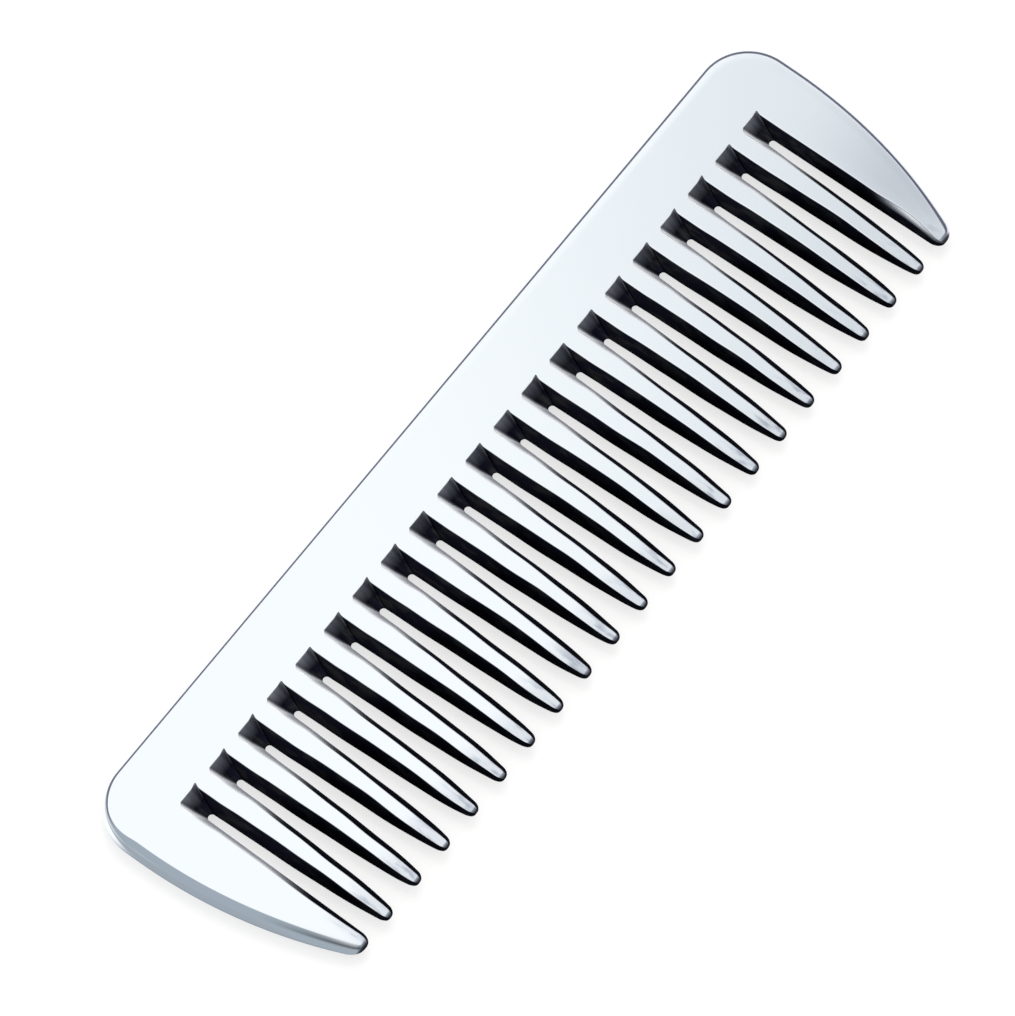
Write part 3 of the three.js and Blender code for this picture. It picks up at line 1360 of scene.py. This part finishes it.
@dataclass(frozen=True)
class AluminiumFinish:
    """Polished cast aluminium with painted shade in its recesses and worn, smudged ends of the teeth.

    The smudges lie on the teeth alone, by the two spans along Y and outwards along X. Towards
    the lower end of the right guard the metal is painted a little greyer, as painted shade.
    """

    name: str = "polished_aluminium"
    polished: Colour = (0.95, 0.963, 0.97)
    smudged: Colour = (0.45, 0.47, 0.54)
    # Painted shade in the recesses.
    dark: Colour = (0.010, 0.010, 0.018)
    # Painted shade in the recesses, streaked by the smudge noise.
    streaked: Colour = (0.030, 0.029, 0.030)
    # A painted grey reflection in the recesses, drawn matt.
    painted_reflection_grey: Colour = (0.34, 0.35, 0.39)
    # Painted shade towards the lower end of the right guard.
    painted_shade_grey: Colour = (0.79, 0.80, 0.83)
    smudge_strength: float = 0.9
    haze: float = 0.25
    smudge_span: Span = (-9.0 * MM, -13.0 * MM)
    teeth_span: Span = (46.0 * MM, 44.5 * MM)
    guard_shade_across: Span = (43.0 * MM, 46.5 * MM)
    guard_shade_down: Span = (6.0 * MM, -8.0 * MM)
    polished_roughness: float = 0.13
    dark_roughness: float = 0.38
    line_roughness: float = 0.05
    tip_roughness: float = 0.14
    line_strength: float = 0.025
    line_depth: float = 0.01 * MM

    def add_near_tip(self, tree: Tree, x: Socket, y: Socket) -> Socket:
        """Adds the mask of the teeth's worn ends and returns it."""
        on_teeth = add_ramp(tree, add_math(tree, "ABSOLUTE", x), self.teeth_span)
        return add_math(tree, "MULTIPLY", add_ramp(tree, y, self.smudge_span), on_teeth)

    def build(self, marks: bpy.types.NodeTree) -> Material:
        """Builds the material.

        Args:
            marks: The node group for polishing marks.

        Returns:
            The material.
        """
        material, tree, surface = new_material(self.name)
        place, x, y = add_place(tree)
        polish = add_node(tree, "ShaderNodeGroup", {}, node_tree=marks)
        feed(tree, place, polish.inputs["Coordinates"])
        lines, smudges = polish.outputs["Lines"], polish.outputs["Smudges"]
        painted_shade = add_node(tree, "ShaderNodeAttribute", {}, attribute_name=PAINTED_SHADE).outputs["Fac"]
        painted_reflection = add_node(tree, "ShaderNodeAttribute", {}, attribute_name=PAINTED_REFLECTION).outputs["Fac"]
        near_tip = self.add_near_tip(tree, x, y)

        # Painted shade that greys the lower end of the right guard.
        guard_shade_x, guard_shade_y = add_ramp(tree, x, self.guard_shade_across), add_ramp(tree, y, self.guard_shade_down)
        guard_painted_shade = add_math(tree, "MULTIPLY", guard_shade_x, guard_shade_y)
        cloud = add_math(tree, "MULTIPLY", smudges, self.smudge_strength - self.haze)
        smudge = add_math(tree, "MULTIPLY", near_tip, add_math(tree, "ADD", cloud, self.haze))
        bright = add_mix(tree, smudge, add_mix(tree, guard_painted_shade, self.polished, self.painted_shade_grey), self.smudged)
        # The recesses' colour: painted shade, under a painted grey reflection where one is set.
        painted_shade_tone = add_mix(tree, painted_reflection, add_mix(tree, smudges, self.dark, self.streaked), self.painted_reflection_grey)

        rough = add_math(tree, "MULTIPLY", lines, self.line_roughness)
        rough = add_math(tree, "ADD", rough, self.polished_roughness - self.line_roughness / 2)
        rough = add_math(tree, "ADD", rough, add_math(tree, "MULTIPLY", near_tip, self.tip_roughness))
        darker = self.dark_roughness - self.polished_roughness
        rough = add_math(tree, "ADD", rough, add_math(tree, "MULTIPLY", painted_shade, darker))

        inputs = {"Strength": self.line_strength, "Distance": self.line_depth, "Height": lines}
        bump = add_node(tree, "ShaderNodeBump", inputs)
        shader = add_node(tree, "ShaderNodeBsdfPrincipled", {
            "Base Color": add_mix(tree, painted_shade, bright, painted_shade_tone),
            "Metallic": add_math(tree, "SUBTRACT", 1.0, painted_reflection),
            "Roughness": rough,
            "Normal": bump.outputs["Normal"],
        })
        feed(tree, shader.outputs["BSDF"], surface)
        return material


# ---- Studio ----


WHITE = (1.0, 1.0, 1.0)
UP = Vector((0.0, 0.0, 1.0))


@dataclass(frozen=True)
class Viewpoint:
    """The camera, and the level directions that the light and the room are set out by."""

    azimuth: float = -52.80
    elevation: float = 66.0
    target: Triple = (-2.40 * MM, 1.55 * MM, 2.5 * MM)
    distance: float = 1000.9 * MM
    lens: float = 379.0
    sensor: float = 36.0
    nearest: float = 0.01
    farthest: float = 50.0

    @property
    def towards_camera(self) -> Vector:
        """The direction from the comb to the camera."""
        azimuth, elevation = math.radians(self.azimuth), math.radians(self.elevation)
        level = math.cos(elevation)
        return Vector((math.sin(azimuth) * level, -math.cos(azimuth) * level, math.sin(elevation)))

    @property
    def away(self) -> Vector:
        """The level direction that leads away from the camera."""
        level = -self.towards_camera
        level.z = 0.0
        return level.normalized()

    @property
    def across(self) -> Vector:
        """The level direction across the view."""
        return Vector((self.away.y, -self.away.x, 0.0))

    def build(self) -> None:
        """Adds the camera and makes it the scene's own."""
        data = bpy.data.cameras.new("camera")
        data.lens = self.lens
        data.sensor_width = self.sensor
        data.clip_start, data.clip_end = self.nearest, self.farthest
        camera = bpy.data.objects.new("camera", data)
        camera.location = Vector(self.target) + self.towards_camera * self.distance
        camera.rotation_mode = "QUATERNION"
        camera.rotation_quaternion = (-self.towards_camera).to_track_quat("-Z", "Y")
        bpy.context.scene.collection.objects.link(camera)
        bpy.context.scene.camera = camera


@dataclass(frozen=True)
class SoftSun:
    """The soft light from behind the comb that casts the shadows on the table."""

    view: Viewpoint
    strength: float = 1.0
    angle: float = 34.0
    tilt: float = 33.0

    def build(self) -> None:
        """Adds the light, which reflections don't show."""
        data = bpy.data.lights.new("soft_sun", "SUN")
        data.energy = self.strength
        data.angle = math.radians(self.angle)
        sun = bpy.data.objects.new("soft_sun", data)
        tilt = math.radians(self.tilt)
        source = self.view.away * math.sin(tilt) + UP * math.cos(tilt)
        sun.rotation_mode = "QUATERNION"
        sun.rotation_quaternion = (-source).to_track_quat("-Z", "Y")
        sun.visible_glossy = False
        bpy.context.scene.collection.objects.link(sun)


@dataclass(frozen=True)
class Table:
    """The pale table, which glows faintly so that it stays pale between the teeth.

    Reflections show it painted: light, but in painted shade beyond the comb's left end, below its
    corner, and painted dark under the teeth. The spans are places along X and Y.
    """

    half_size: float = 6.0
    drop: float = 0.02 * MM
    albedo: Colour = (0.29, 0.288, 0.285)
    glow: float = 0.69
    mirrored_albedo: Colour = (0.10, 0.107, 0.117)
    mirrored_shade: Colour = (0.22, 0.26, 0.30)
    mirrored_light: Colour = (0.90, 0.92, 0.94)
    mirrored_dark: Colour = (0.03, 0.03, 0.06)
    light_across: Span = (-48.0 * MM, -40.0 * MM)
    corner_across: Span = (-60.0 * MM, -55.0 * MM)
    corner_up: Span = (8.0 * MM, 13.4 * MM)
    dark_across: Span = (47.0 * MM, 46.0 * MM)
    dark_down: Span = (8.0 * MM, 6.0 * MM)

    def add_mirrored_tone(self, tree: Tree) -> Socket:
        """Adds the painted light and shade that reflections show.

        Args:
            tree: The table's node tree.

        Returns:
            The tone.
        """
        _, x, y = add_place(tree)
        corner_y, corner_x = add_ramp(tree, y, self.corner_up), add_ramp(tree, x, self.corner_across)
        corner = add_math(tree, "MULTIPLY", corner_y, corner_x)
        light = add_math(tree, "MAXIMUM", add_ramp(tree, x, self.light_across), corner)
        # Painted dark under the teeth, for the comb's reflections.
        below_x = add_ramp(tree, add_math(tree, "ABSOLUTE", x), self.dark_across)
        below = add_math(tree, "MULTIPLY", below_x, add_ramp(tree, y, self.dark_down))
        tone = add_mix(tree, light, self.mirrored_shade, self.mirrored_light)
        return add_mix(tree, below, tone, self.mirrored_dark)

    def build(self) -> None:
        """Adds the table to the stage."""
        material, tree, surface = new_material("pale_table")
        seen = add_glowing(tree, self.albedo, WHITE, self.glow)
        mirrored = add_glowing(tree, self.mirrored_albedo, self.add_mirrored_tone(tree), 1.0)
        feed(tree, add_ray_choice(tree, "Is Glossy Ray", seen, mirrored), surface)
        material.cycles.emission_sampling = "NONE"
        bm = bmesh.new()
        bmesh.ops.create_grid(bm, x_segments=1, y_segments=1, size=self.half_size)
        bmesh.ops.translate(bm, verts=bm.verts[:], vec=(0.0, 0.0, -self.drop))
        make_object(bm, "table", material)


@dataclass(frozen=True)
class Card:
    """The large soft card overhead, which only the comb's reflections show.

    It reaches from near to far along the level direction away from the camera. An oval patch of
    it is dimmed, starting at the first of dim_span and fully at the second, as shares of the
    oval's radii.
    """

    view: Viewpoint
    height: float = 500.0 * MM
    near: float = -100.0 * MM
    far: float = 430.0 * MM
    half_width: float = 260.0 * MM
    light: Colour = (0.98, 1.02, 1.05)
    dimmed: Colour = (0.65, 0.70, 0.745)
    oval_middle: Pair = (285.0 * MM, 60.0 * MM)
    oval_radii: Pair = (125.0 * MM, 150.0 * MM)
    dim_span: Span = (1.15, 0.2)

    def build_material(self) -> Material:
        """Builds the card's material.

        Returns:
            The material.
        """
        material, tree, surface = new_material("overhead_card")
        place, _, _ = add_place(tree)
        location, scale = (*self.oval_middle, self.height), (*self.oval_radii, 1.0)
        inputs = {"Vector": place, "Location": location, "Scale": scale}
        mapping = add_node(tree, "ShaderNodeMapping", inputs, vector_type="TEXTURE")
        away = add_node(tree, "ShaderNodeVectorMath", {0: mapping.outputs["Vector"]}, operation="LENGTH")
        dim = add_ramp(tree, away.outputs["Value"], self.dim_span)
        shader = add_node(tree, "ShaderNodeEmission", {"Color": add_mix(tree, dim, self.light, self.dimmed)})
        feed(tree, shader.outputs[0], surface)
        material.cycles.emission_sampling = "NONE"
        return material

    def build(self) -> None:
        """Adds the card to the stage."""
        away, across = self.view.away, self.view.across
        turn = Matrix(((away.x, across.x, 0.0), (away.y, across.y, 0.0), (0.0, 0.0, 1.0))).to_4x4()
        middle, half_length = (self.near + self.far) / 2, (self.far - self.near) / 2
        bm = bmesh.new()
        bmesh.ops.create_grid(bm, x_segments=1, y_segments=1, size=1.0)
        bmesh.ops.scale(bm, verts=bm.verts[:], vec=(half_length, self.half_width, 1.0))
        bmesh.ops.translate(bm, verts=bm.verts[:], vec=(middle, 0.0, self.height))
        bmesh.ops.transform(bm, verts=bm.verts[:], matrix=turn)
        card = make_object(bm, "overhead_card", self.build_material())
        card.visible_camera = False
        card.visible_diffuse = False
        card.visible_shadow = False
        card.visible_transmission = False
        card.visible_volume_scatter = False


@dataclass(frozen=True)
class Room:
    """The room: pale behind the comb, even for the table, shaded for reflections.

    The spans are how far a reflection looks along a direction, from -1 to 1.
    """

    view: Viewpoint
    ambient: float = 1.0
    backdrop: float = 1.06
    near_wall: Colour = (0.36, 0.42, 0.48)
    far_wall: Colour = (0.15, 0.155, 0.21)
    side_wall: Colour = (0.70, 0.74, 0.78)
    ceiling: Colour = (0.92, 0.96, 1.0)
    far_span: Span = (-0.2, 0.25)
    side_span: Span = (0.72, 0.95)
    ceiling_span: Span = (0.82, 0.95)

    def add_walls(self, tree: Tree) -> Socket:
        """Adds the colours that reflections show.

        Args:
            tree: The world's node tree.

        Returns:
            The colour.
        """
        look = tree.nodes.new("ShaderNodeTexCoord").outputs["Generated"]
        directions = (self.view.away, self.view.across, UP)
        dots = [
            add_node(tree, "ShaderNodeVectorMath", {0: look, 1: direction}, operation="DOT_PRODUCT")
            for direction in directions
        ]
        away, across, up = (dot.outputs["Value"] for dot in dots)
        colour = add_mix(tree, add_ramp(tree, away, self.far_span), self.near_wall, self.far_wall)
        side = add_ramp(tree, add_math(tree, "ABSOLUTE", across), self.side_span)
        colour = add_mix(tree, side, colour, self.side_wall)
        return add_mix(tree, add_ramp(tree, up, self.ceiling_span), colour, self.ceiling)

    def build(self) -> None:
        """Makes the room the scene's world."""
        world = bpy.data.worlds.new("studio_room")
        bpy.context.scene.world = world
        world.use_nodes = True
        world.cycles.sampling_method = "NONE"
        tree = world.node_tree
        tree.nodes.clear()
        lights = ((WHITE, self.ambient), (self.add_walls(tree), 1.0), (WHITE, self.backdrop))
        even, walls, seen = (
            add_node(tree, "ShaderNodeBackground", {"Color": colour, "Strength": strength}).outputs[0]
            for colour, strength in lights
        )
        lit = add_ray_choice(tree, "Is Glossy Ray", even, walls)
        lit = add_ray_choice(tree, "Is Camera Ray", lit, seen)
        feed(tree, lit, tree.nodes.new("ShaderNodeOutputWorld").inputs["Surface"])


def build_studio() -> None:
    """Builds everything round the comb."""
    view = Viewpoint()
    for part in (view, SoftSun(view), Table(), Card(view), Room(view)):
        part.build()
    bpy.context.scene.view_settings.view_transform = "Standard"
    LOG.info("studio built")


# ---- The comb ----


def main() -> None:
    """Builds the studio and the comb."""
    logging.basicConfig(level=logging.INFO, format="%(name)s: %(message)s")
    build_studio()
    metal = AluminiumFinish().build(PolishingMarks().build())
    places = CombFrame.read()
    edge = OuterEdge(places)
    chance = random.Random(SEED)
    Back(places, edge, chance).build(metal)
    for end in End:
        Guard(places=places, edge=edge, end=end).build(metal)
    for index in range(len(places.tooth_nodes)):
        Tooth(places=places, edge=edge, index=index, chance=chance).build(metal)


if __name__ == "__main__":
    main()
